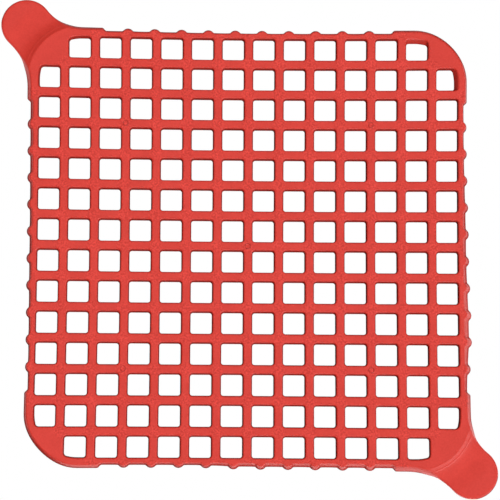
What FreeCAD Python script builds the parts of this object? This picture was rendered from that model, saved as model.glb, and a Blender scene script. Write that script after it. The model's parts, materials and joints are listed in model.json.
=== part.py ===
import FreeCAD, Part
import os
import Sketcher

# A flexible hold-down grid for a commercial dish rack, moulded in one piece of soft PVC.
# It is a square grid mat with a thicker rim, half-round grips along its four sides and
# a round pull tab on two opposite corners. The mat bends along a diagonal fold at each
# corner, and each tab bends at its neck, so those places are where the solids divide.
# Millimetres. X runs to the right, Y to the rear, Z up; the underside lies on Z = 0.

doc = FreeCAD.newDocument("hold_down_grid")

# Driving dimensions: alias, value in mm (or a plain count).
SIZES = [
    ("cell_pitch", 33.5),
    ("cells_per_side", 14),
    ("rib_width", 10.0),
    ("opening_radius", 2.5),
    ("mat_thickness", 8.0),
    ("body_width", 481.0),
    ("side_recess", 3.5),
    ("rim_width", 8.2),
    ("corner_radius", 59.0),
    ("corner_step", 155.5),
    ("corner_ramp", 4.0),
    ("fold_reach", 352.0),
    ("fold_gap", 0.6),
    ("grip_pitch", 29.3),
    ("grips_per_side", 10),
    ("grip_radius", 6.5),
    ("grip_height", 3.2),
    ("tab_radius", 28.0),
    ("tab_overhang", 3.3),
    ("tab_thickness", 3.4),
    ("tab_hinge_reach", 18.8),
    ("ramp_length", 16.0),
    ("hinge_clearance", 0.3),
    ("mark_radius", 3.3),
    ("mark_width", 0.8),
    ("mark_height", 0.3),
    ("mark_cells", 4),
]

# Places worked out from the driving dimensions. All of them are measured from the centre
# of the mat, apart from the neck and tab ones, which are measured from the centre of a
# corner's outer arc, along the diagonal (reach) and across it (half width).
PLACES = [
    ("body_half", "Sizes.body_width / 2"),
    ("side_half", "Places.body_half - Sizes.side_recess"),
    ("rim_half", "Places.side_half - Sizes.rim_width"),
    ("opening", "Sizes.cell_pitch - Sizes.rib_width"),
    ("fold_inside", "Sizes.fold_reach - Sizes.fold_gap / sqrt(2)"),
    ("fold_outside", "Sizes.fold_reach + Sizes.fold_gap / sqrt(2)"),
    ("arc_center", "Places.body_half - Sizes.corner_radius"),
    ("rim_arc_radius", "Places.rim_half - Places.arc_center"),
    ("grip_half_width", "sqrt(Sizes.grip_radius ^ 2 - (Sizes.grip_radius - Sizes.grip_height) ^ 2)"),
    ("neck_radius", "((Sizes.corner_radius + Sizes.tab_overhang) ^ 2 + Sizes.tab_overhang ^ 2"
                    " - Sizes.tab_radius ^ 2) / (2 * (Sizes.tab_radius + Sizes.tab_overhang))"),
    ("neck_center", "(Sizes.corner_radius + Places.neck_radius) / sqrt(2)"),
    ("neck_start", "Sizes.corner_radius / sqrt(2)"),
    ("hinge_reach", "Sizes.corner_radius + Sizes.tab_hinge_reach"),
    ("hinge_half_width", "Places.neck_center"
                         " - sqrt(Places.neck_radius ^ 2 - (Places.hinge_reach - Places.neck_center) ^ 2)"),
    ("ramp_end", "Places.hinge_reach - Sizes.tab_thickness / 2 - Sizes.hinge_clearance"),
    ("ramp_end_half_width", "Places.neck_center"
                            " - sqrt(Places.neck_radius ^ 2 - (Places.ramp_end - Places.neck_center) ^ 2)"),
    ("tab_center", "(Sizes.corner_radius + Sizes.tab_overhang) * sqrt(2)"),
    ("tab_tip", "Places.tab_center + Sizes.tab_radius"),
    ("tab_share", "Sizes.tab_radius / (Sizes.tab_radius + Places.neck_radius)"),
    ("tab_join", "Places.tab_center + (Places.neck_center - Places.tab_center) * Places.tab_share"),
    ("tab_join_half_width", "Places.neck_center * Places.tab_share"),
    ("ramp_drop", "Sizes.mat_thickness - Sizes.tab_thickness"),
    ("ramp_radius", "(Sizes.ramp_length ^ 2 + Places.ramp_drop ^ 2) / (2 * Places.ramp_drop)"),
]

# The rear side is the one that the shared side sketches describe; the others are turned
# about Z. The rear right corner does the same for the four corners.
SIDE_TURNS = {"rear": 0, "left": 90, "front": 180, "right": 270}
CORNER_TURNS = {"rear_right": 0, "rear_left": 90, "front_left": 180, "front_right": 270}
TAB_CORNERS = ("rear_left", "front_right")


def make_sheet():
    """Put the driving dimensions in a spreadsheet, and the places worked out from them
    in a set of variables bound to it."""
    sheet = doc.addObject("Spreadsheet::Sheet", "Sizes")
    for row, (alias, value) in enumerate(SIZES, start=1):
        sheet.set("A%d" % row, alias)
        sheet.set("B%d" % row, str(value))
        sheet.setAlias("B%d" % row, alias)
    doc.recompute()
    places = doc.addObject("App::VarSet", "Places")
    for name, expression in PLACES:
        places.addProperty("App::PropertyFloat", name)
        places.setExpression(name, expression.replace("Places.", ""))
        doc.recompute()
    return places


def number(expression):
    """The present value of an expression over Sizes and Places."""
    value = places.evalExpression(expression)
    return float(getattr(value, "Value", value))


def new_body(label, turn=0.0, at=("0", "0", "0")):
    """An empty body that may hold several separate solids, turned about Z."""
    body = doc.addObject("PartDesign::Body", label)
    body.Label = label
    body.AllowCompound = True
    body.Placement = FreeCAD.Placement(FreeCAD.Vector(), FreeCAD.Rotation(turn, 0, 0))
    for axis, expression in zip("xyz", at):
        body.setExpression("Placement.Base." + axis, expression)
    return body


def origin_feature(body, role):
    return next(feature for feature in body.Origin.OriginFeatures if feature.Role == role)


def new_sketch(body, name, plane="XY_Plane"):
    sketch = body.newObject("Sketcher::SketchObject", name)
    sketch.AttachmentSupport = [(origin_feature(body, plane), "")]
    sketch.MapMode = "FlatFace"
    return sketch


def bind(sketch, index, expression):
    sketch.setExpression("Constraints[%d]" % index, expression)


def pin_point(sketch, edge, end, point):
    """Hold one end of an edge at (x, y), both given as expressions."""
    for kind, expression in zip(("DistanceX", "DistanceY"), point):
        index = sketch.addConstraint(Sketcher.Constraint(kind, edge, end, number(expression)))
        bind(sketch, index, expression)


def arc_between(start, end, radius, turn, large):
    """An arc from start to end; turn is +1 to curve left on the way and -1 to curve right."""
    chord = end - start
    rise = max(radius ** 2 - (chord.Length / 2) ** 2, 0.0) ** 0.5
    left = FreeCAD.Vector(-chord.y, chord.x, 0).normalize()
    center = (start + end) * 0.5 + left * rise * (-turn if large else turn)
    return Part.Arc(start, center - left * radius * turn, end)


def profile(sketch, corners):
    """Draw a closed outline. Each corner is (x, y) or (x, y, radius, turn, large), where
    the last three describe an arc from that corner to the next one."""
    spots = [FreeCAD.Vector(number(corner[0]), number(corner[1]), 0) for corner in corners]
    edges = []
    for index, corner in enumerate(corners):
        start = spots[index]
        end = spots[(index + 1) % len(spots)]
        if len(corner) == 2:
            edges.append((sketch.addGeometry(Part.LineSegment(start, end)), 1, 2))
            continue
        radius = number(corner[2])
        arc = sketch.addGeometry(arc_between(start, end, radius, corner[3], corner[4]))
        counterclockwise = corner[3] > 0
        edges.append((arc, 1, 2) if counterclockwise else (arc, 2, 1))
    for index, corner in enumerate(corners):
        edge, first, last = edges[index]
        following = edges[(index + 1) % len(edges)]
        sketch.addConstraint(Sketcher.Constraint("Coincident", edge, last, following[0], following[1]))
        pin_point(sketch, edge, first, corner[:2])
        if len(corner) > 2:
            held = sketch.addConstraint(Sketcher.Constraint("Radius", edge, number(corner[2])))
            bind(sketch, held, corner[2])


def circle(sketch, x, y, radius):
    edge = sketch.addGeometry(Part.Circle(FreeCAD.Vector(number(x), number(y), 0),
                                          FreeCAD.Vector(0, 0, 1), number(radius)))
    pin_point(sketch, edge, 3, (x, y))
    bind(sketch, sketch.addConstraint(Sketcher.Constraint("Radius", edge, number(radius))), radius)


def rounded_square(sketch, x, y):
    """One grid opening, centred on (x, y)."""
    low_x = "%s - Places.opening / 2" % x
    high_x = "%s + Places.opening / 2" % x
    low_y = "%s - Places.opening / 2" % y
    high_y = "%s + Places.opening / 2" % y
    radius = "Sizes.opening_radius"
    profile(sketch, [
        (low_x + " + " + radius, low_y),
        (high_x + " - " + radius, low_y, radius, 1, False),
        (high_x, low_y + " + " + radius),
        (high_x, high_y + " - " + radius, radius, 1, False),
        (high_x + " - " + radius, high_y),
        (low_x + " + " + radius, high_y, radius, 1, False),
        (low_x, high_y + " - " + radius),
        (low_x, low_y + " + " + radius, radius, 1, False),
    ])


def pad(body, sketch, length):
    feature = body.newObject("PartDesign::Pad", "Pad")
    feature.Profile = sketch
    feature.setExpression("Length", length)
    sketch.Visibility = False
    doc.recompute()
    return feature


def pocket_through(body, sketch):
    """Cut a sketch upward through the whole mat, and make sure that it cuts."""
    before = body.Shape.Volume
    feature = body.newObject("PartDesign::Pocket", "Pocket")
    feature.Profile = sketch
    feature.Type = "ThroughAll"
    feature.Midplane = True
    doc.recompute()
    assert body.Shape.Volume < before - 1, body.Label + ": the pocket cuts nothing"
    return feature


def repeat(body, feature, axis, count, pitch, backward=False):
    """Repeat a feature along one axis of the body."""
    pattern = body.newObject("PartDesign::LinearPattern", "Row")
    pattern.Originals = [feature]
    set_row(pattern, body, axis, count, pitch, backward)
    body.Tip = pattern
    doc.recompute()
    return pattern


def set_row(pattern, body, axis, count, pitch, backward):
    pattern.Direction = (origin_feature(body, axis), [""])
    pattern.setExpression("Length", "%s * (%s - 1)" % (pitch, count))
    pattern.setExpression("Occurrences", count)
    pattern.Reversed = backward


def repeat_block(body, feature, count, pitch, backward=False, mirrored=False):
    """Repeat a feature in a square block along X and Y; mirrored copies the block to the
    other three quarters of the body."""
    block = body.newObject("PartDesign::MultiTransform", "Block")
    block.Originals = [feature]
    steps = []
    for axis in ("X_Axis", "Y_Axis"):
        row = body.newObject("PartDesign::LinearPattern", "Row")
        set_row(row, body, axis, count, pitch, backward)
        steps.append(row)
    for plane in ("YZ_Plane", "XZ_Plane") if mirrored else ():
        mirror = body.newObject("PartDesign::Mirrored", "Mirror")
        mirror.MirrorPlane = (origin_feature(body, plane), [""])
        steps.append(mirror)
    block.Transformations = steps
    body.Tip = block
    doc.recompute()
    return block


def grid_panel():
    """The grid of ribs inside the rim, with its four corners cut back to the folds."""
    body = new_body("grid_panel")
    outline = new_sketch(body, "PanelOutline")
    edge = "Places.rim_half"
    cut = "(Places.fold_inside - Places.rim_half)"
    profile(outline, [
        ("-" + cut, "-" + edge), (cut, "-" + edge), (edge, "-" + cut), (edge, cut),
        (cut, edge), ("-" + cut, edge), ("-" + edge, cut), ("-" + edge, "-" + cut),
    ])
    pad(body, outline, "Sizes.mat_thickness")
    opening = new_sketch(body, "FirstOpening")
    rounded_square(opening, "Sizes.cell_pitch / 2", "Sizes.cell_pitch / 2")
    first = pocket_through(body, opening)
    repeat_block(body, first, "Sizes.cells_per_side / 2", "Sizes.cell_pitch", mirrored=True)
    return body


def side_rim(side, turn):
    """The straight bar that closes the grid along one side."""
    body = new_body(side + "_rim", turn)
    outline = new_sketch(body, "RimOutline")
    inner = "(Places.fold_inside - Places.rim_half)"
    outer = "(Places.fold_inside - Places.side_half)"
    profile(outline, [
        ("-" + inner, "Places.rim_half"), (inner, "Places.rim_half"),
        (outer, "Places.side_half"), ("-" + outer, "Places.side_half"),
    ])
    pad(body, outline, "Sizes.mat_thickness")
    return body


def grip_outline(sketch, along, swap=False):
    """One half-round grip on the side face; swap puts it on the neighbouring side."""
    low = "%s - Places.grip_half_width" % along
    high = "%s + Places.grip_half_width" % along
    face = "Places.side_half"
    if swap:
        profile(sketch, [(face, low, "Sizes.grip_radius", 1, False), (face, high)])
    else:
        profile(sketch, [(high, face, "Sizes.grip_radius", 1, False), (low, face)])


def side_grips(side, turn):
    """The half-round grips that stand on one rim bar."""
    body = new_body(side + "_grips", turn)
    count = "Sizes.grips_per_side - 2"
    sketch = new_sketch(body, "FirstGrip")
    grip_outline(sketch, "-Sizes.grip_pitch * (Sizes.grips_per_side - 3) / 2")
    first = pad(body, sketch, "Sizes.mat_thickness")
    repeat(body, first, "X_Axis", count, "Sizes.grip_pitch")
    return body


def corner_web(corner, turn):
    """The ribs and the filled cell of one corner, outside its fold."""
    body = new_body(corner + "_corner_web", turn)
    outline = new_sketch(body, "WebOutline")
    edge = "Places.rim_half"
    fold = "Places.fold_outside - Places.rim_half"
    profile(outline, [
        (edge, fold), (edge, "Places.arc_center", "Places.rim_arc_radius", 1, False),
        ("Places.arc_center", edge), (fold, edge),
    ])
    pad(body, outline, "Sizes.mat_thickness")
    inner = "Sizes.cell_pitch * (Sizes.cells_per_side - 3) / 2"
    outer = "Sizes.cell_pitch * (Sizes.cells_per_side - 1) / 2"
    block = new_sketch(body, "InnerOpening")
    rounded_square(block, inner, inner)
    repeat_block(body, pocket_through(body, block), "3", "Sizes.cell_pitch", backward=True)
    for x, y, axis in ((inner, outer, "X_Axis"), (outer, inner, "Y_Axis")):
        row = new_sketch(body, "OuterOpening")
        rounded_square(row, x, y)
        repeat(body, pocket_through(body, row), axis, "3", "Sizes.cell_pitch", backward=True)
    return body


def corner_rim(corner, turn):
    """The rim round one corner. It steps out by the height of the grips."""
    body = new_body(corner + "_corner_rim", turn)
    outline = new_sketch(body, "CornerRimOutline")
    out = "Places.body_half"
    face = "Places.side_half"
    edge = "Places.rim_half"
    arc = "Places.arc_center"
    step = "Sizes.corner_step"
    crest = "Sizes.corner_step + Sizes.corner_ramp"
    profile(outline, [
        (edge, "Places.fold_outside - " + edge), (face, "Places.fold_outside - " + face),
        (face, step), (out, crest), (out, arc, "Sizes.corner_radius", 1, False),
        (arc, out), (crest, out), (step, face),
        ("Places.fold_outside - " + face, face), ("Places.fold_outside - " + edge, edge),
        (arc, edge, "Places.rim_arc_radius", -1, False), (edge, arc),
    ])
    pad(body, outline, "Sizes.mat_thickness")
    return body


def corner_grips(corner, turn):
    """The last grip of each of the two sides that meet at a corner."""
    body = new_body(corner + "_corner_grips", turn)
    sketch = new_sketch(body, "CornerGrips")
    along = "Sizes.grip_pitch * (Sizes.grips_per_side - 1) / 2"
    grip_outline(sketch, along)
    grip_outline(sketch, along, swap=True)
    pad(body, sketch, "Sizes.mat_thickness")
    return body


def tab_frame(turn):
    """A body's turn and place when its origin is the centre of a corner's outer arc and
    its X axis runs out along the diagonal."""
    sign = {0: (1, 1), 90: (-1, 1), 180: (-1, -1), 270: (1, -1)}[turn]
    return turn + 45, tuple("%d * Places.arc_center" % s for s in sign) + ("0",)


def tab_ramp(corner, turn):
    """The neck of a tab: it falls in a hollow curve from the mat's top to the tab's."""
    turned, at = tab_frame(turn)
    body = new_body(corner + "_tab_ramp", turned, at)
    outline = new_sketch(body, "NeckOutline")
    start = "Places.neck_start"
    end = "Places.ramp_end"
    half = "Places.ramp_end_half_width"
    neck = "Places.neck_radius"
    profile(outline, [
        (start, start, "Sizes.corner_radius", -1, False), (start, "-" + start, neck, 1, False),
        (end, "-" + half), (end, half, neck, 1, False),
    ])
    pad(body, outline, "Sizes.mat_thickness")
    slope = new_sketch(body, "Slope", "XZ_Plane")
    foot = "Sizes.corner_radius + Sizes.ramp_length"
    above = "2 * Sizes.mat_thickness"
    profile(slope, [
        ("Sizes.corner_radius", "Sizes.mat_thickness", "Places.ramp_radius", 1, False),
        (foot, "Sizes.tab_thickness"), ("Places.tab_tip", "Sizes.tab_thickness"),
        ("Places.tab_tip", above), ("Sizes.corner_radius", above),
    ])
    before = body.Shape.Volume
    groove = body.newObject("PartDesign::Groove", "Groove")
    groove.Profile = slope
    groove.ReferenceAxis = (slope, ["V_Axis"])
    groove.Angle = 360
    doc.recompute()
    assert body.Shape.Volume < before - 1, body.Label + ": the slope cuts nothing"
    return body


def pull_tab(corner, turn):
    """The round tab, with a rounded root about its bending line."""
    turned, at = tab_frame(turn)
    body = new_body(corner + "_pull_tab", turned, at)
    outline = new_sketch(body, "TabOutline")
    root = "Places.hinge_reach"
    half = "Places.hinge_half_width"
    join = "Places.tab_join"
    join_half = "Places.tab_join_half_width"
    neck = "Places.neck_radius"
    profile(outline, [
        (root, "-" + half, neck, -1, False), (join, "-" + join_half, "Sizes.tab_radius", 1, True),
        (join, join_half, neck, -1, False), (root, half),
    ])
    pad(body, outline, "Sizes.tab_thickness")
    section = new_sketch(body, "RootSection", "XZ_Plane")
    circle(section, root, "Sizes.tab_thickness / 2", "Sizes.tab_thickness / 2")
    rounded_root = pad(body, section, "2 * " + half)
    rounded_root.Midplane = True
    doc.recompute()
    return body


def gate_marks():
    """Five raised rings that the moulding tool leaves on the rib crossings."""
    body = new_body("gate_marks", at=("0", "0", "Sizes.mat_thickness"))
    inner = "Sizes.mark_radius - Sizes.mark_width"
    middle = new_sketch(body, "MiddleMark")
    circle(middle, "0", "0", "Sizes.mark_radius")
    circle(middle, "0", "0", inner)
    pad(body, middle, "Sizes.mark_height")
    outer = new_sketch(body, "OuterMark")
    reach = "Sizes.cell_pitch * Sizes.mark_cells"
    circle(outer, reach, reach, "Sizes.mark_radius")
    circle(outer, reach, reach, inner)
    ring = pad(body, outer, "Sizes.mark_height")
    pattern = body.newObject("PartDesign::PolarPattern", "AroundCentre")
    pattern.Originals = [ring]
    pattern.Axis = (origin_feature(body, "Z_Axis"), [""])
    pattern.Angle = 360
    pattern.Occurrences = 4
    body.Tip = pattern
    doc.recompute()
    return body


def check(parts):
    """Stop if anything in the document failed, before a file is written."""
    for item in doc.Objects:
        failed = {"Invalid", "Error"} & set(item.State)
        assert not failed, "%s: %s" % (item.Label, item.State)
    for body in parts:
        assert not body.Shape.isNull(), body.Label + " is empty"
        assert body.Shape.isValid(), body.Label + " is not valid"


places = make_sheet()
parts = [grid_panel()]
for side, turn in SIDE_TURNS.items():
    parts.append(side_rim(side, turn))
    parts.append(side_grips(side, turn))
for corner, turn in CORNER_TURNS.items():
    parts.append(corner_web(corner, turn))
    parts.append(corner_rim(corner, turn))
    parts.append(corner_grips(corner, turn))
    if corner in TAB_CORNERS:
        parts.append(tab_ramp(corner, turn))
        parts.append(pull_tab(corner, turn))
parts.append(gate_marks())
doc.recompute()
check(parts)

os.makedirs("parts", exist_ok=True)
for body in parts:
    body.Shape.exportStep("parts/%s.step" % body.Label)
    box = body.Shape.BoundBox
    print("%-28s solids %3d  volume %9.0f  x %7.1f..%7.1f  y %7.1f..%7.1f  z %4.1f..%4.1f" % (
        body.Label, len(body.Shape.Solids), body.Shape.Volume,
        box.XMin, box.XMax, box.YMin, box.YMax, box.ZMin, box.ZMax))
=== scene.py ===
import json
import math

import bpy
import numpy as np
from mathutils import Matrix, Vector
from mathutils.geometry import delaunay_2d_cdt


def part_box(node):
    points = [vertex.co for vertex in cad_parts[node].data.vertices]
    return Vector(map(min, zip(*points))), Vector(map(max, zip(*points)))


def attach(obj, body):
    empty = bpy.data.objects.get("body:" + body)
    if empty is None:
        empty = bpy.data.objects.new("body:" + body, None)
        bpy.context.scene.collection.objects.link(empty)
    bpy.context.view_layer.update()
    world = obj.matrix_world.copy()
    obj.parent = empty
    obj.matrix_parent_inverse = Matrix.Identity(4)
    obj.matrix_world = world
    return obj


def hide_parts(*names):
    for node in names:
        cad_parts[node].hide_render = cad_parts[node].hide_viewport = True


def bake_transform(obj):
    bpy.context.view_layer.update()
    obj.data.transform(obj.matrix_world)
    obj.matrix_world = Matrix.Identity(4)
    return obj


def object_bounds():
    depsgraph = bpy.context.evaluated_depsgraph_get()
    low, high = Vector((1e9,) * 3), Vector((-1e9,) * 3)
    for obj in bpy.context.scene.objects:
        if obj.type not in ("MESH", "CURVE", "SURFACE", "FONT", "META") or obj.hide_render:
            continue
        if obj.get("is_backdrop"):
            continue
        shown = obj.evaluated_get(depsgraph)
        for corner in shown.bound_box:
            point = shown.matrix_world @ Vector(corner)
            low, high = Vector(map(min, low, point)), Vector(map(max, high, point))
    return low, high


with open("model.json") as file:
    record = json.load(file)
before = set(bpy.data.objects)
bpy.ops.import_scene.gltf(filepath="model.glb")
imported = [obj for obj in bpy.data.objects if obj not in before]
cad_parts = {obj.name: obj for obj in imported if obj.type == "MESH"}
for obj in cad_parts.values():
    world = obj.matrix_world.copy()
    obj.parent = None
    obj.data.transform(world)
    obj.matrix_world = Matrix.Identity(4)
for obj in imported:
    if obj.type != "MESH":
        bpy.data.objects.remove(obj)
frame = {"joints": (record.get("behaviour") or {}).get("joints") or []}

cad_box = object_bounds()

# The moulding is worked out in millimetres, and becomes metres when its meshes are made.
MM = 0.001


def high(node, axis):
    """How far a CAD node reaches along an axis (0 is X, 1 is Y and 2 is Z), in millimetres."""
    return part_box(node)[1][axis] / MM


# Sizes carried by the CAD nodes, and how much further in than theirs the tabs' centres are.
PANEL_HALF = high("grid_panel", 0)
THICKNESS = high("grid_panel", 2)
SIDE_HALF = high("right_rim", 0)
GRIP_HEIGHT = high("right_grips", 0) - SIDE_HALF
BODY_HALF = high("rear_right_corner_rim", 0)
TAB_THICKNESS = high("front_right_pull_tab", 2)
TAB_RADIUS = 28.0
TAB_INSET = 1.4
TAB_CENTRE = high("front_right_pull_tab", 0) - TAB_RADIUS - TAB_INSET

# The grid of openings.
CELLS = 14
PITCH = 33.5
OPENING = (22.9, 22.5)
OPENING_RADIUS = 2.5

# The outline: plain sides, grips, and corners that stand out level with the grips.
CORNER_RADIUS = 59.0
ARC_CENTRE = BODY_HALF - CORNER_RADIUS
CORNER_STEP = 155.5
STEP_LENGTH = 4.5
GRIPS = 10
GRIP_PITCH = 29.3
GRIP_RADIUS = 6.5
GRIP_FLARE = 3.0

# Where the outline has its points: from a grip's middle, about a corner's step, and round its arcs. A neck's
# arc begins 3 degrees early, because an arc leaves out its first point.
GRIP_POINTS = (10.5, 6.2, 5.3, 4.5, 3.8, 3.1, 2.1, 1.0)
STEP_MARGINS = (4.0, 1.5)
STEP_POINTS = 12
CORNER_MARGINS = (4.0, 8.0)
CORNER_POINTS = 4
CORNER_STEPS = 24
NECK_STEPS = 16
NECK_START = 183.0
TAB_STEPS = 40
BEND_STEPS = 4

# The slope from a corner's edge down to its tab, scooped out and with a low ridge near its top, how far
# outside the corner's quarter it fades away, and where the two flanks of each tab's neck leave their sides,
# from the centre of the corner's arc.
RAMP_LENGTH = 22.0
RAMP_HOLLOW = 2.7
RAMP_SOFTNESS = 0.45
SCOOP_DEPTH = 0.9
SCOOP_LENGTH = 35.0
RIDGE_REACH = 4.4
RIDGE_HALF = 0.9
RIDGE_HEIGHT = 0.25
SLOPE_FADE = 10.0
NECK_STARTS = {"rear_left": (0.0, -9.0), "front_right": (-9.0, -1.0)}

# The points over a slope and its tab: beside the arc where the slope begins, then from, to and how far apart
# along its length, how many degrees apart across it, and how far they keep from the outline.
SLOPE_TOP = (-4.0, -2.5, -1.5, -0.9, -0.5, -0.2, 0.1, 0.4, 0.7, 1.1, 1.6, 2.3, 3.0, 3.5, 3.9,
             4.2, 4.5, 4.8, 5.2, 5.7)
SLOPE_REST = (6.8, 58, 1.4)
SLOPE_TURN = 1.25
SLOPE_CLEARANCE = 0.8

# How far the walls lean out from top to bottom, how wide and deep their top edges are rounded, and how large
# the roundings at their feet are. The walls bulge: they are steepest at the foot.
OPENING_LEAN = 1.1
SIDE_LEAN = 2.4
CORNER_LEAN = 3.4
TAB_LEAN = 1.0
OPENING_EDGE = (1.7, 1.8)
OUTER_EDGE = (1.4, 1.4)
TAB_EDGE = (2.4, 1.3)
OPENING_FOOT = 0.5
OUTER_FOOT = 0.6
FOOT_SHARES = (0.3, 1.2)
WALL_STEPS = 5
WALL_START = 0.8
WALL_BULGE = 1.7
EDGE_STEPS = 5

# The circle that clips the openings beside a filled corner, and how much more it clips them at the underside.
CLIP_RADIUS = PANEL_HALF - ARC_CENTRE
CORNER_REACH = 2 * ARC_CENTRE + CLIP_RADIUS
CLIP_LEAN = {"rear_right": 3.5, "rear_left": 0.8, "front_left": 0.4, "front_right": 0.4}
CLIP_FADE = 4.0

# How the soft moulding has set: its sides drawn in between its corners, longer than it is wide, and bowed,
# with its tabs a little aside. The stretch stands for either the mat or the camera: one view can't part them.
SIDE_DRAW = 1.9
DRAW_END = 0.8
STRETCH = 0.6
BOW = 0.79
TAB_SHIFTS = {"rear_left": (0.0, -0.9), "front_right": (-0.8, -0.4)}
SHIFT_START = 0.5

# How much tighter the two plain corners have become.
CORNER_PULL = {"rear_right": 1.0, "front_left": 1.9}

# How far the foot of the outer wall is splayed out, in directions measured from +X, in degrees.
SPLAY_AT = (-57, -33, -22, 0, 33, 57, 90, 123, 147, 180, 213, 237, 256, 270, 303)
SPLAY = (1.6, 1.1, 4.1, 1.7, -1.0, 0.0, -0.4, 0.3, 1.2, 0.7, -0.4, -0.5, -0.4, 1.2, 1.6)

# How brightly the card beside each side glows, which of them only shine on the walls and don't light them,
# how far from the mat they begin, and in metres where they end, half the floor's width and where it lies.
CARDS = {"right": 3.1, "front": 3.8, "left": 1.5, "rear": 0.5}
SHINE_ONLY = ("right", "front")
CARD_GAP = 5.0
CARD_END = 0.6
FLOOR_HALF = 6
FLOOR_LEVEL = -0.0006

# Each distant light: the way towards it, how wide it looks in degrees, and its strength; and the fill around.
# The key only shades the mat. The others only shine on it: the ceiling on its flats, the rest on its edges.
LIGHTS = {"key": ((0.21, -0.20, 0.957), 22, 3.3), "ceiling": ((0.024, 0.146, 0.99), 56, 0.6),
          "right_sheen": ((0.92, -0.18, 0.36), 32, 0.9), "corner_sheen": ((0.66, -0.66, 0.36), 32, 1.0),
          "front_sheen": ((0.18, -0.92, 0.36), 32, 0.9)}
FILL = 0.06

# The camera's place and what it looks at, in metres, its roll in degrees and its lens in millimetres.
CAMERA_AT = (-0.0687, -0.4397, 2.9872)
CAMERA_AIM = (0.0023, -0.0042, 0.008)
CAMERA_ROLL = 0.24
LENS = 201.1

# The soft PVC's two reds where it is plain and where the ribs cross, and how much its blotches darken it.
PLAIN_REDS = ((0.635, 0.040, 0.027), (0.675, 0.047, 0.033))
SPECKLED_REDS = ((0.53, 0.026, 0.016), (0.79, 0.062, 0.046))
BLOTCH = (0.94, 0.9, 0.88)
NOISE_ENDS = (0.35, 0.65)
CROSSING_ENDS = (0.9, 1.8)

# The raised rings left by the mould, at the middle and this many cells out: how dark their painted shade is,
# their sizes, how deep their feet are sunk in the top, and where across a ring and how often around it the
# points are.
MARK_SHADE = 0.7
MARK_CELLS = 4
MARK_RADIUS = 3.3
MARK_WIDTH = 1.0
MARK_HEIGHT = 0.45
MARK_ROOT = 0.1
MARK_SHARES = (-0.1, 0.25, 0.5, 0.75, 1.1)
MARK_SPINS = 36

# Points and levels closer than this are the same, in millimetres.
SAME = 1e-6

# The pieces part along straight lines across each corner.
CORNER_SEAM = 330.0
TAB_SEAM = 448.0

# Two spreads for each hinge, before and after it, handed to bend.
FOLD_SPREAD = (6.0, 22.0)
TAB_SPREAD = (6.0, 14.0)

SIDES = ("right", "rear", "left", "front")
CORNERS = {"rear_right": (1, 1), "rear_left": (-1, 1), "front_left": (-1, -1), "front_right": (1, -1)}
TAB_CORNERS = ("rear_left", "front_right")


def smooth(value, start, end):
    """0 before the start, 1 past the end, and an S-curve between."""
    share = np.clip((value - start) / (end - start), 0, 1)
    return share * share * (3 - 2 * share)


def quarter_turns(points, turns):
    """Points turned about the middle of the mat by a number of right angles."""
    angle = turns * math.pi / 2
    turn = np.array([[math.cos(angle), math.sin(angle)], [-math.sin(angle), math.cos(angle)]])
    return points @ np.round(turn)


def arc(centre, radius, start, end, steps):
    """Points on an arc and their directions from its centre, in degrees, without the first point."""
    angles = np.radians(np.linspace(start, end, steps + 1)[1:])
    spokes = np.stack([np.cos(angles), np.sin(angles)], 1)
    return np.array(centre) + radius * spokes, spokes


def grip_outline(across):
    """How far a side stands out at a distance from a grip's middle: a round crest with flared feet."""
    sunk = GRIP_RADIUS - GRIP_HEIGHT
    reach = GRIP_RADIUS + GRIP_FLARE
    foot = math.sqrt(reach ** 2 - (GRIP_FLARE + sunk) ** 2)
    meet = foot * GRIP_RADIUS / reach
    across = np.abs(across)
    crest = np.sqrt(np.maximum(GRIP_RADIUS ** 2 - across ** 2, 0)) - sunk
    flare = GRIP_FLARE - np.sqrt(np.maximum(GRIP_FLARE ** 2 - (foot - across) ** 2, 0))
    return np.where(across < meet, crest, np.where(across < foot, flare, 0))


def side_run():
    """The right side from front to rear: points, outward directions, and the wall's lean."""
    middles = (np.arange(GRIPS) - (GRIPS - 1) / 2) * GRIP_PITCH
    around = np.array(GRIP_POINTS)
    grips = (middles[:, None] + np.concatenate([-around, [0], around])).ravel()
    step = CORNER_STEP + np.linspace(-STEP_MARGINS[0], STEP_LENGTH + STEP_MARGINS[1], STEP_POINTS)
    corner_start = CORNER_STEP + STEP_LENGTH + CORNER_MARGINS[0]
    corner = np.linspace(corner_start, ARC_CENTRE - CORNER_MARGINS[1], CORNER_POINTS)
    along = np.unique(np.concatenate([grips, step, -step, corner, -corner]))
    out = SIDE_HALF + grip_outline(along[:, None] - middles).max(1)
    stood = smooth(np.abs(along), CORNER_STEP, CORNER_STEP + STEP_LENGTH)
    out = out + (BODY_HALF - SIDE_HALF) * stood
    points = np.stack([out, along], 1)
    return points, np.tile([1.0, 0.0], (len(along), 1)), SIDE_LEAN + (CORNER_LEAN - SIDE_LEAN) * stood


def plain_corner(pull):
    """The rear right corner after its side: a quarter circle, drawn in at its middle by the pull."""
    step = 90 / CORNER_STEPS
    points, spokes = arc((ARC_CENTRE, ARC_CENTRE), CORNER_RADIUS, -step, 90, CORNER_STEPS + 1)
    points = points - spokes * pull * (2 * spokes[:, :1] * spokes[:, 1:]) ** 2
    return points, spokes, np.full(len(points), CORNER_LEAN)


def neck(start):
    """The hollow curve from the right side to a tab: points, outward directions, and the angle at the tab."""
    over = TAB_CENTRE - BODY_HALF
    away = TAB_CENTRE - ARC_CENTRE - start
    radius = (over ** 2 + away ** 2 - TAB_RADIUS ** 2) / (2 * (TAB_RADIUS + over))
    meet = math.degrees(math.atan2(away, over - radius))
    points, spokes = arc((BODY_HALF + radius, ARC_CENTRE + start), radius, NECK_START, meet, NECK_STEPS)
    return points, -spokes, meet


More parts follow.
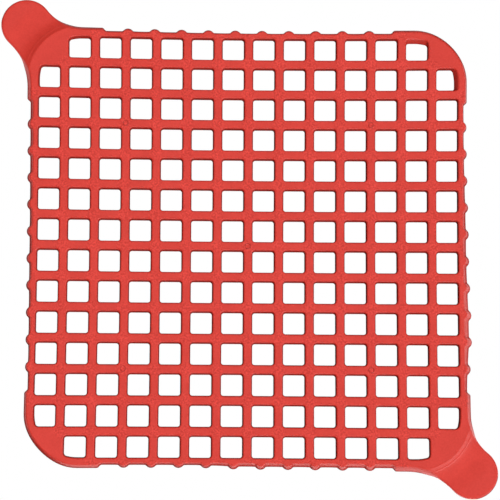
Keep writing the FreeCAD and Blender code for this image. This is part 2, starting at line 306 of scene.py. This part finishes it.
def tab_corner(starts):
    """The rear right corner with a tab: a hollow neck, the round tab, and the other neck."""
    near, near_out, near_meet = neck(starts[0])
    far, far_out, far_meet = neck(starts[1])
    middle = (TAB_CENTRE, TAB_CENTRE)
    round_tab, tab_out = arc(middle, TAB_RADIUS, near_meet - 180, 270 - far_meet, TAB_STEPS)
    points = np.concatenate([near, round_tab[:-1], far[::-1, ::-1]])
    spokes = np.concatenate([near_out, tab_out[:-1], far_out[::-1, ::-1]])
    slope = smooth(np.linalg.norm(points - ARC_CENTRE, axis=1), CORNER_RADIUS, CORNER_RADIUS + RAMP_LENGTH)
    return points, spokes, CORNER_LEAN + (TAB_LEAN - CORNER_LEAN) * slope


def outline():
    """The whole outline, anticlockwise: points, outward directions, and the wall's lean."""
    runs = []
    for turns, corner in enumerate(CORNERS):
        if corner in TAB_CORNERS:
            turning = tab_corner(NECK_STARTS[corner])
        else:
            turning = plain_corner(CORNER_PULL[corner])
        for points, spokes, lean in (side_run(), turning):
            runs.append((quarter_turns(points, turns), quarter_turns(spokes, turns), lean))
    return [np.concatenate(parts) for parts in zip(*runs)]


def top_height(points):
    """The height of the top over each point: flat, but for the scooped slopes and the tabs."""
    height = np.full(len(points), THICKNESS)
    drop = THICKNESS - TAB_THICKNESS
    for corner in TAB_CORNERS:
        local = points * CORNERS[corner] - ARC_CENTRE
        reach = np.linalg.norm(local, axis=1) - CORNER_RADIUS
        slope = TAB_THICKNESS + drop * (np.clip(RAMP_LENGTH - reach, 0, None) / RAMP_LENGTH) ** RAMP_HOLLOW
        slope = slope - SCOOP_DEPTH * np.sin(math.pi * np.clip(reach / SCOOP_LENGTH, 0, 1)) ** 2
        slope = slope + RIDGE_HEIGHT * smooth(-np.abs(reach - RIDGE_REACH), -RIDGE_HALF, 0)
        share = np.clip(0.5 + (THICKNESS - slope) / (2 * RAMP_SOFTNESS), 0, 1)
        eased = THICKNESS * (1 - share) + slope * share - RAMP_SOFTNESS * share * (1 - share)
        within = smooth(local.min(1), -SLOPE_FADE, 0)
        height = height + (eased - THICKNESS) * within
    return height


def opening_loop(column, row):
    """The edge of one opening, anticlockwise, and the directions into the material around it."""
    centre = (np.array([column, row]) - (CELLS - 1) / 2) * PITCH
    half = np.array(OPENING) / 2
    low = np.maximum(centre - half, -PANEL_HALF) + OPENING_RADIUS
    high_corner = np.minimum(centre + half, PANEL_HALF) - OPENING_RADIUS
    hubs = [high_corner, (low[0], high_corner[1]), low, (high_corner[0], low[1])]
    points, spokes = [], []
    step = 90 / BEND_STEPS
    shares = np.array([0.25, 0.5, 0.75])[:, None]
    for quarter, hub in enumerate(hubs):
        end = quarter * 90 + 90
        bend, bend_spokes = arc(hub, OPENING_RADIUS, quarter * 90 - step, end, BEND_STEPS + 1)
        following = arc(hubs[(quarter + 1) % 4], OPENING_RADIUS, end - step, end, 1)
        points += [bend, bend[-1] + (following[0] - bend[-1]) * shares]
        spokes += [bend_spokes, np.tile(bend_spokes[-1], (3, 1))]
    return np.concatenate(points), np.concatenate(spokes)


def clip(points, column, row, depth):
    """Draws in the outer side of an opening beside a filled corner; depth is 0 at the top and 1 below."""
    cell = np.array([column, row]) - (CELLS - 1) / 2
    outermost = (CELLS - 1) / 2
    if sorted(np.abs(cell)) != [outermost - 1, outermost]:
        return points
    signs = np.sign(cell)
    corner = next(name for name, way in CORNERS.items() if tuple(signs) == way)
    outer = int(np.argmax(np.abs(cell)))
    local = points * signs - ARC_CENTRE
    side = np.clip(local[:, 1 - outer], 0, None)
    radius = CLIP_RADIUS - CLIP_LEAN[corner] * depth
    drawn = CLIP_RADIUS - np.sqrt(radius ** 2 - side ** 2)
    middle = outermost * PITCH - ARC_CENTRE
    share = smooth(local[:, outer], middle - CLIP_FADE, CLIP_RADIUS - OPENING_RADIUS)
    local[:, outer] -= drawn * share
    return (local + ARC_CENTRE) * signs


def wall_profile(lean, height, edge, foot):
    """How far in a bulging wall is and how high, station by station, from the flat above to the underside."""
    width, depth = edge
    share = 1 - depth / height
    below = lean * share ** WALL_BULGE
    knee = below * (1 + WALL_BULGE * depth / (height - depth))
    for step in range(EDGE_STEPS + 1):
        along = step / EDGE_STEPS
        ends = (1 - along) ** 2, along ** 2
        yield (lean + width) * ends[0] + knee * (1 - sum(ends)) + below * ends[1], height - depth * ends[1]
    for along in np.linspace(WALL_START, 0, WALL_STEPS):
        level = foot + (height - depth - foot) * along
        yield lean * (level / height) ** WALL_BULGE, level
    yield foot * FOOT_SHARES[0], np.full_like(height, foot * FOOT_SHARES[0])
    yield foot * FOOT_SHARES[1], np.zeros_like(height)


class Moulding:
    """Vertices and faces of the whole moulding, before it's parted into pieces."""

    def __init__(self):
        self.vertices = []
        self.faces = []
        self.flat = {}
        self.upper_loops = []
        self.lower_loops = []

    def add(self, points, heights, flat=None):
        """Adds vertices and returns their numbers; flat is the way a level surface faces."""
        start = len(self.vertices)
        self.vertices += np.column_stack([points, heights]).tolist()
        numbers = list(range(start, len(self.vertices)))
        if flat is not None:
            for number in numbers:
                if abs(self.vertices[number][2] - (THICKNESS if flat > 0 else 0)) < SAME:
                    self.flat[number] = flat
        return numbers

    def band(self, upper, lower, outward):
        """Joins two loops with quads that face away from the middle of the loop, or towards it."""
        for here in range(len(upper)):
            there = (here + 1) % len(upper)
            quad = (upper[here], lower[here], lower[there], upper[there])
            self.faces.append(quad if outward else quad[::-1])

    def wall(self, stations, outward):
        """A wall through loops from the top to the underside, whose first and last loops bound the flats."""
        loops = []
        for number, (points, heights) in enumerate(stations):
            flat = {0: 1, len(stations) - 1: -1}.get(number)
            loops.append(self.add(points, heights, flat))
        for upper, lower in zip(loops, loops[1:]):
            self.band(upper, lower, outward)
        self.upper_loops.append(loops[0])
        self.lower_loops.append(loops[-1])

    def plate(self, loops, inner, up):
        """Fills the space inside the first loop and outside the others with triangles."""
        edges = [(loop[k - 1], loop[k]) for loop in loops for k in range(len(loop))]
        opening = {number: k for k, loop in enumerate(loops) if k > 0 for number in loop}
        numbers = [number for loop in loops for number in loop] + inner
        place = {number: k for k, number in enumerate(numbers)}
        flat_points = [Vector(self.vertices[number][:2]) for number in numbers]
        flat_edges = [(place[a], place[b]) for a, b in edges]
        made = delaunay_2d_cdt(flat_points, flat_edges, [], 1, SAME)
        for triangle in made[2]:
            corners = [numbers[made[3][k][0]] for k in triangle]
            around = {opening.get(number) for number in corners}
            if len(around) == 1 and None not in around:
                continue
            (ax, ay), (bx, by), (cx, cy) = (self.vertices[k][:2] for k in corners)
            turned = (bx - ax) * (cy - ay) - (by - ay) * (cx - ax)
            self.faces.append(tuple(corners if (turned > 0) == up else corners[::-1]))


def splayed(points):
    """How far the foot of the wall stands out at each point, from the point's direction."""
    first = SPLAY_AT[0]
    direction = (np.degrees(np.arctan2(points[:, 1], points[:, 0])) - first) % 360 + first
    number = np.searchsorted(SPLAY_AT, direction, side="right") - 1
    before, after = (np.array(SPLAY_AT, float)[number + k] for k in (0, 1))
    share = smooth((direction - before) / (after - before), 0, 1)
    return np.array(SPLAY)[number] * (1 - share) + np.array(SPLAY)[number + 1] * share


def outline_stations():
    """Every loop round the outside, from the flat top to the flat underside."""
    points, spokes, lean = outline()
    height = top_height(points - spokes * (lean[:, None] + OUTER_EDGE[0]))
    tab = smooth(height, THICKNESS, TAB_THICKNESS)[:, None]
    width, depth = (np.array(OUTER_EDGE) + (np.array(TAB_EDGE) - OUTER_EDGE) * tab).T
    splay = splayed(points) * (1 - tab[:, 0])
    for inward, level in wall_profile(lean, height, (width, depth), OUTER_FOOT):
        ring = points - spokes * np.reshape(inward - splay * (1 - level / height), (-1, 1))
        yield ring, level


def opening_stations(column, row):
    """Every loop of one opening, from the flat top to the flat underside."""
    points, spokes = opening_loop(column, row)
    for inward, level in wall_profile(OPENING_LEAN, THICKNESS, OPENING_EDGE, OPENING_FOOT):
        ring = clip(points + spokes * inward, column, row, 1 - level / THICKNESS)
        yield ring, np.full(len(points), level)


def slope_points(corner, boundary):
    """Points over a corner's slope and tab, clear of the boundary loop."""
    made = []
    edge = CORNER_RADIUS + np.array(SLOPE_TOP)
    start, end, gap = SLOPE_REST
    for reach in [*edge, *np.arange(CORNER_RADIUS + start, CORNER_RADIUS + end, gap)]:
        for angle in np.arange(0, 90 + SLOPE_TURN / 2, SLOPE_TURN):
            spoke = np.array([math.cos(math.radians(angle)), math.sin(math.radians(angle))])
            made.append((ARC_CENTRE + reach * spoke) * CORNERS[corner])
    made = np.array(made)
    gaps = np.linalg.norm(made[:, None] - boundary[None], axis=2).min(1)
    return made[(gaps > SLOPE_CLEARANCE) & inside(made, boundary)]


def inside(points, boundary):
    """Whether each point lies inside a closed loop."""
    ends = np.roll(boundary, -1, axis=0)
    x, y = points[:, :1], points[:, 1:]
    crosses = (boundary[:, 1] > y) != (ends[:, 1] > y)
    rise = np.where(ends[:, 1] == boundary[:, 1], 1, ends[:, 1] - boundary[:, 1])
    at = boundary[:, 0] + (y - boundary[:, 1]) * (ends[:, 0] - boundary[:, 0]) / rise
    return (crosses & (x < at)).sum(1) % 2 == 1


def is_open(column, row):
    """Whether a cell is an opening: all are, but for the four at the corners."""
    return not (column in (0, CELLS - 1) and row in (0, CELLS - 1))


def build_moulding():
    """The whole mat as one surface."""
    moulding = Moulding()
    moulding.wall(list(outline_stations()), True)
    boundary = np.array([moulding.vertices[k][:2] for k in moulding.upper_loops[0]])
    for column in range(CELLS):
        for row in range(CELLS):
            if is_open(column, row):
                moulding.wall(list(opening_stations(column, row)), False)
    slopes = np.concatenate([slope_points(corner, boundary) for corner in TAB_CORNERS])
    inner = moulding.add(slopes, top_height(slopes), 1)
    moulding.plate(moulding.upper_loops, inner, True)
    moulding.plate(moulding.lower_loops, [], False)
    return moulding


def set_shape(vertices):
    """The shape that the moulding has set in: drawn in, a little longer than wide, and its tabs aside."""
    share = np.clip(vertices[:, :2] / BODY_HALF, -1, 1)
    shaped = vertices.copy()
    shaped[:, 0] += share[:, 0] * (SIDE_DRAW * (share[:, 1] ** 2 - DRAW_END) - STRETCH)
    shaped[:, 1] += share[:, 1] * (SIDE_DRAW * (share[:, 0] ** 2 - DRAW_END) + STRETCH)
    shaped[:, 1] += BOW * share[:, 0] ** 2
    for corner, shift in TAB_SHIFTS.items():
        along = (vertices[:, :2] @ CORNERS[corner] / 2 - ARC_CENTRE) / (TAB_CENTRE - ARC_CENTRE)
        shaped[:, :2] += smooth(along, SHIFT_START, 1)[:, None] * shift
    return shaped


def vertex_normals(vertices, faces, flat):
    """Normals that join smoothly over a mesh of triangles and quads, upright where it is flat."""
    normals = np.zeros_like(vertices)
    for size in sorted({len(face) for face in faces}):
        group = np.array([face for face in faces if len(face) == size])
        corners = vertices[group]
        across = corners[:, 2] - corners[:, 0]
        other = corners[:, 3 % size] - corners[:, 1]
        facing = np.cross(across, other) if size == 4 else np.cross(corners[:, 1] - corners[:, 0], across)
        for k in range(size):
            np.add.at(normals, group[:, k], facing)
    for number, way in flat.items():
        normals[number] = (0, 0, way)
    return normals / np.linalg.norm(normals, axis=1, keepdims=True)


def piece_of(centre):
    """The name of the piece that a face belongs to, from the middle of the face."""
    x, y = centre[0], centre[1]
    corner = next(name for name, way in CORNERS.items() if x * way[0] >= 0 and y * way[1] >= 0)
    if abs(x) + abs(y) > TAB_SEAM and corner in TAB_CORNERS:
        return corner + "_tab_skin"
    if abs(x) + abs(y) > CORNER_SEAM:
        return corner + "_corner_skin"
    if max(abs(x), abs(y)) < PANEL_HALF:
        return "grid_skin"
    if abs(x) > abs(y):
        return "right_rim_skin" if x > 0 else "left_rim_skin"
    return "rear_rim_skin" if y > 0 else "front_rim_skin"


def mesh_object(name, vertices, faces, normals):
    """A smooth mesh piece in metres."""
    mesh = bpy.data.meshes.new(name)
    mesh.from_pydata((vertices * MM).tolist(), [], faces)
    mesh.shade_smooth()
    mesh.normals_split_custom_set_from_vertices(normals.tolist())
    piece = bpy.data.objects.new(name, mesh)
    bpy.context.scene.collection.objects.link(piece)
    return piece


def part_pieces(moulding):
    """Parts the moulding into named pieces that meet vertex to vertex."""
    plain = np.array(moulding.vertices)
    vertices = set_shape(plain)
    normals = vertex_normals(vertices, moulding.faces, moulding.flat)
    groups = {}
    for face in moulding.faces:
        groups.setdefault(piece_of(plain[list(face)].mean(0)), []).append(face)
    pieces = {}
    for name, faces in groups.items():
        used = np.unique([k for face in faces for k in face])
        place = {number: k for k, number in enumerate(used.tolist())}
        local = [tuple(place[k] for k in face) for face in faces]
        pieces[name] = mesh_object(name, vertices[used], local, normals[used])
    return pieces


def gate_marks():
    """The raised rings, as one piece."""
    inner = MARK_RADIUS - MARK_WIDTH
    section = []
    for share in MARK_SHARES:
        rise = MARK_HEIGHT * math.sin(math.pi * share) if 0 < share < 1 else -MARK_ROOT
        section.append((inner + MARK_WIDTH * share, THICKNESS + rise))
    out = MARK_CELLS * PITCH
    vertices, faces = [], []
    for centre in ((0, 0), (out, out), (-out, out), (-out, -out), (out, -out)):
        start = len(vertices)
        for spin in range(MARK_SPINS):
            angle = spin / MARK_SPINS * math.tau
            for radius, height in section:
                at = (centre[0] + radius * math.cos(angle), centre[1] + radius * math.sin(angle), height)
                vertices.append(at)
        for spin in range(MARK_SPINS):
            here, there = (start + k % MARK_SPINS * len(section) for k in (spin, spin + 1))
            for k in range(len(section) - 1):
                faces.append((here + k, here + k + 1, there + k + 1, there + k))
    vertices = set_shape(np.array(vertices, float))
    return mesh_object("mould_marks", vertices, faces, vertex_normals(vertices, faces, {}))


def hinge_reach(joint):
    """How far a joint lies from the middle of the mat, seen from above, in millimetres."""
    place = next(item for item in frame["joints"] if item["name"] == joint)["pos_m"]
    return math.hypot(place[0], place[1]) / MM


def bend(piece, corner, joint, bodies, spread):
    """Bakes a piece's placement into its mesh; the piece is left unbent."""
    way = Vector((*CORNERS[corner], 0)).normalized() * MM
    reach = hinge_reach(joint)
    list(bodies)
    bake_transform(piece)


def fit_to_frame(pieces, marks):
    """Says which pieces follow the mat's body, and which CAD nodes each piece stands for; the corner and tab
    pieces follow no body.
    """
    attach(pieces["grid_skin"], "mat")
    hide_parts("grid_panel")
    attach(marks, "mat")
    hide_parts("gate_marks")
    for side in SIDES:
        piece = pieces[side + "_rim_skin"]
        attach(piece, "mat")
        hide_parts(side + "_rim", side + "_grips")
    for corner in CORNERS:
        piece = pieces[corner + "_corner_skin"]
        bend(piece, corner, corner + "_corner_fold", ("mat", corner + "_corner"), FOLD_SPREAD)
        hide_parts(corner + "_corner_web", corner + "_corner_rim", corner + "_corner_grips")
        if corner in TAB_CORNERS:
            tab = pieces[corner + "_tab_skin"]
            bend(tab, corner, corner + "_tab_bend", (corner + "_corner", corner + "_tab"), TAB_SPREAD)
            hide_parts(corner + "_tab_ramp", corner + "_pull_tab")


def noise(nodes, links, place, scale, detail):
    """A noise texture's value over the piece."""
    texture = nodes.new("ShaderNodeTexNoise")
    texture.inputs["Scale"].default_value = scale
    texture.inputs["Detail"].default_value = detail
    links.new(place, texture.inputs["Vector"])
    return texture.outputs["Fac"]


def ramp(nodes, links, value, stops):
    """A colour ramp from two positions to two colours."""
    node = nodes.new("ShaderNodeValToRGB")
    for element, (position, colour) in zip(node.color_ramp.elements, stops):
        element.position = position
        element.color = (*colour, 1)
    links.new(value, node.inputs["Fac"])
    return node.outputs["Color"]


def maths(nodes, links, operation, *values):
    """A maths node over numbers or other nodes' outputs."""
    node = nodes.new("ShaderNodeMath")
    node.operation = operation
    for socket, value in zip(node.inputs, values):
        if isinstance(value, (int, float)):
            socket.default_value = value
        else:
            links.new(value, socket)
    return node.outputs["Value"]


def crossings(nodes, links, place):
    """1 where two ribs cross, falling to 0 along the ribs."""
    split = nodes.new("ShaderNodeSeparateXYZ")
    links.new(place, split.inputs["Vector"])
    waves = []
    for axis in "XY":
        turns = maths(nodes, links, "MULTIPLY", split.outputs[axis], math.tau / (PITCH * MM))
        waves.append(maths(nodes, links, "COSINE", turns))
    both = maths(nodes, links, "ADD", *waves)
    reach = [maths(nodes, links, "ABSOLUTE", split.outputs[axis]) for axis in "XY"]
    on_mat = maths(nodes, links, "LESS_THAN", maths(nodes, links, "ADD", *reach), CORNER_REACH * MM)
    spread = nodes.new("ShaderNodeMapRange")
    spread.inputs["From Min"].default_value = CROSSING_ENDS[0]
    spread.inputs["From Max"].default_value = CROSSING_ENDS[1]
    links.new(both, spread.inputs["Value"])
    return maths(nodes, links, "MULTIPLY", spread.outputs["Result"], on_mat)


def blend_colours(nodes, links, kind, share, first, second):
    """Two colours mixed, or multiplied."""
    node = nodes.new("ShaderNodeMixRGB")
    node.blend_type = kind
    for socket, value in zip(node.inputs, (share, first, second)):
        if isinstance(value, (int, float)):
            socket.default_value = value
        else:
            links.new(value, socket)
    return node.outputs["Color"]


def soft_pvc(name, shade):
    """Soft red plasticised PVC: satin, faintly blotched, and speckled where the ribs cross; the shade darkens
    all of it, as painted shade.
    """
    material = bpy.data.materials.new(name)
    material.use_nodes = True
    nodes, links = material.node_tree.nodes, material.node_tree.links
    shader = nodes["Principled BSDF"]
    place = nodes.new("ShaderNodeTexCoord").outputs["Object"]
    grain = noise(nodes, links, place, 520, 2)
    plain = ramp(nodes, links, grain, zip(NOISE_ENDS, PLAIN_REDS))
    speckled = ramp(nodes, links, grain, zip(NOISE_ENDS, SPECKLED_REDS))
    surface = blend_colours(nodes, links, "MIX", crossings(nodes, links, place), plain, speckled)
    shades = ([part * shade for part in BLOTCH], [shade] * 3)
    blotches = ramp(nodes, links, noise(nodes, links, place, 60, 2), zip(NOISE_ENDS, shades))
    links.new(blend_colours(nodes, links, "MULTIPLY", 1, surface, blotches), shader.inputs["Base Color"])
    bump = nodes.new("ShaderNodeBump")
    bump.inputs["Strength"].default_value = 0.15
    bump.inputs["Distance"].default_value = 0.0004
    links.new(noise(nodes, links, place, 700, 3), bump.inputs["Height"])
    links.new(bump.outputs["Normal"], shader.inputs["Normal"])
    shader.inputs["Roughness"].default_value = 0.42
    shader.inputs["Specular IOR Level"].default_value = 0.5
    return material


def glowing_sheet(name, low, high, strength):
    """A flat sheet at the floor's level that gives off white light and reflects none."""
    corners = [(low[0], low[1]), (high[0], low[1]), (high[0], high[1]), (low[0], high[1])]
    mesh = bpy.data.meshes.new(name)
    mesh.from_pydata([(x, y, FLOOR_LEVEL) for x, y in corners], [], [(0, 1, 2, 3)])
    material = bpy.data.materials.new(name)
    material.use_nodes = True
    shader = material.node_tree.nodes["Principled BSDF"]
    shader.inputs["Base Color"].default_value = (0, 0, 0, 1)
    shader.inputs["Specular IOR Level"].default_value = 0
    shader.inputs["Emission Color"].default_value = (1, 1, 1, 1)
    shader.inputs["Emission Strength"].default_value = strength
    mesh.materials.append(material)
    sheet = bpy.data.objects.new(name, mesh)
    bpy.context.scene.collection.objects.link(sheet)
    sheet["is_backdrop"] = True
    return sheet


def floor_and_cards():
    """A white floor without shadows, and beside each side a card that its wall reflects."""
    floor = glowing_sheet("floor", (-FLOOR_HALF, -FLOOR_HALF), (FLOOR_HALF, FLOOR_HALF), 1.0)
    floor.visible_diffuse = False
    floor.visible_glossy = False
    near, far = BODY_HALF * MM + CARD_GAP * MM, CARD_END
    areas = {"right": (near, -near, far, near), "front": (-near, -far, near, -near),
             "left": (-far, -near, -near, near), "rear": (-near, near, near, far)}
    for side, (left, front, right, rear) in areas.items():
        card = glowing_sheet(side + "_card", (left, front), (right, rear), CARDS[side])
        card.visible_camera = False
        card.visible_shadow = False
        card.visible_diffuse = side not in SHINE_ONLY


def camera():
    """A long lens nearly straight above, a little to the front and the left."""
    data = bpy.data.cameras.new("camera")
    data.sensor_width = 36
    data.lens = LENS
    data.clip_end = 50
    cam = bpy.data.objects.new("camera", data)
    cam.location = CAMERA_AT
    ahead = (Vector(CAMERA_AIM) - cam.location).normalized()
    right = ahead.cross(Vector((0, 1, 0))).normalized()
    turn = Matrix((right, right.cross(ahead), -ahead)).transposed()
    cam.rotation_euler = (turn @ Matrix.Rotation(math.radians(CAMERA_ROLL), 3, "Z")).to_euler()
    bpy.context.scene.collection.objects.link(cam)
    bpy.context.scene.camera = cam


def distant_light(name, come_from, width, strength):
    """A light from far away, the same over the whole mat: the key shades, and the others shine."""
    data = bpy.data.lights.new(name, "SUN")
    data.angle = math.radians(width)
    data.energy = strength
    light = bpy.data.objects.new(name, data)
    light.rotation_euler = (-Vector(come_from)).to_track_quat("-Z", "Y").to_euler()
    light.visible_glossy = name != "key"
    light.visible_diffuse = name == "key"
    bpy.context.scene.collection.objects.link(light)


def studio():
    """Floor, world and lights: the key shades the mat, and the ceiling and the sheen only shine on it."""
    floor_and_cards()
    world = bpy.data.worlds.new("studio")
    world.use_nodes = True
    world.node_tree.nodes["Background"].inputs["Color"].default_value = (1, 1, 1, 1)
    world.node_tree.nodes["Background"].inputs["Strength"].default_value = FILL
    bpy.context.scene.world = world
    world.cycles_visibility.glossy = False
    for name, (come_from, width, strength) in LIGHTS.items():
        distant_light(name, come_from, width, strength)
    bpy.context.scene.view_settings.view_transform = "Standard"


pieces = part_pieces(build_moulding())
marks = gate_marks()
fit_to_frame(pieces, marks)
skin = soft_pvc("soft_red_pvc", 1.0)
for piece in pieces.values():
    piece.data.materials.append(skin)
# The rings get a darker copy of the PVC, as painted shade on them.
marks.data.materials.append(soft_pvc("painted_shade_red_pvc", MARK_SHADE))
studio()
camera()

visual_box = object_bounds()
[[list(corner) for corner in box] for box in (cad_box, visual_box)]
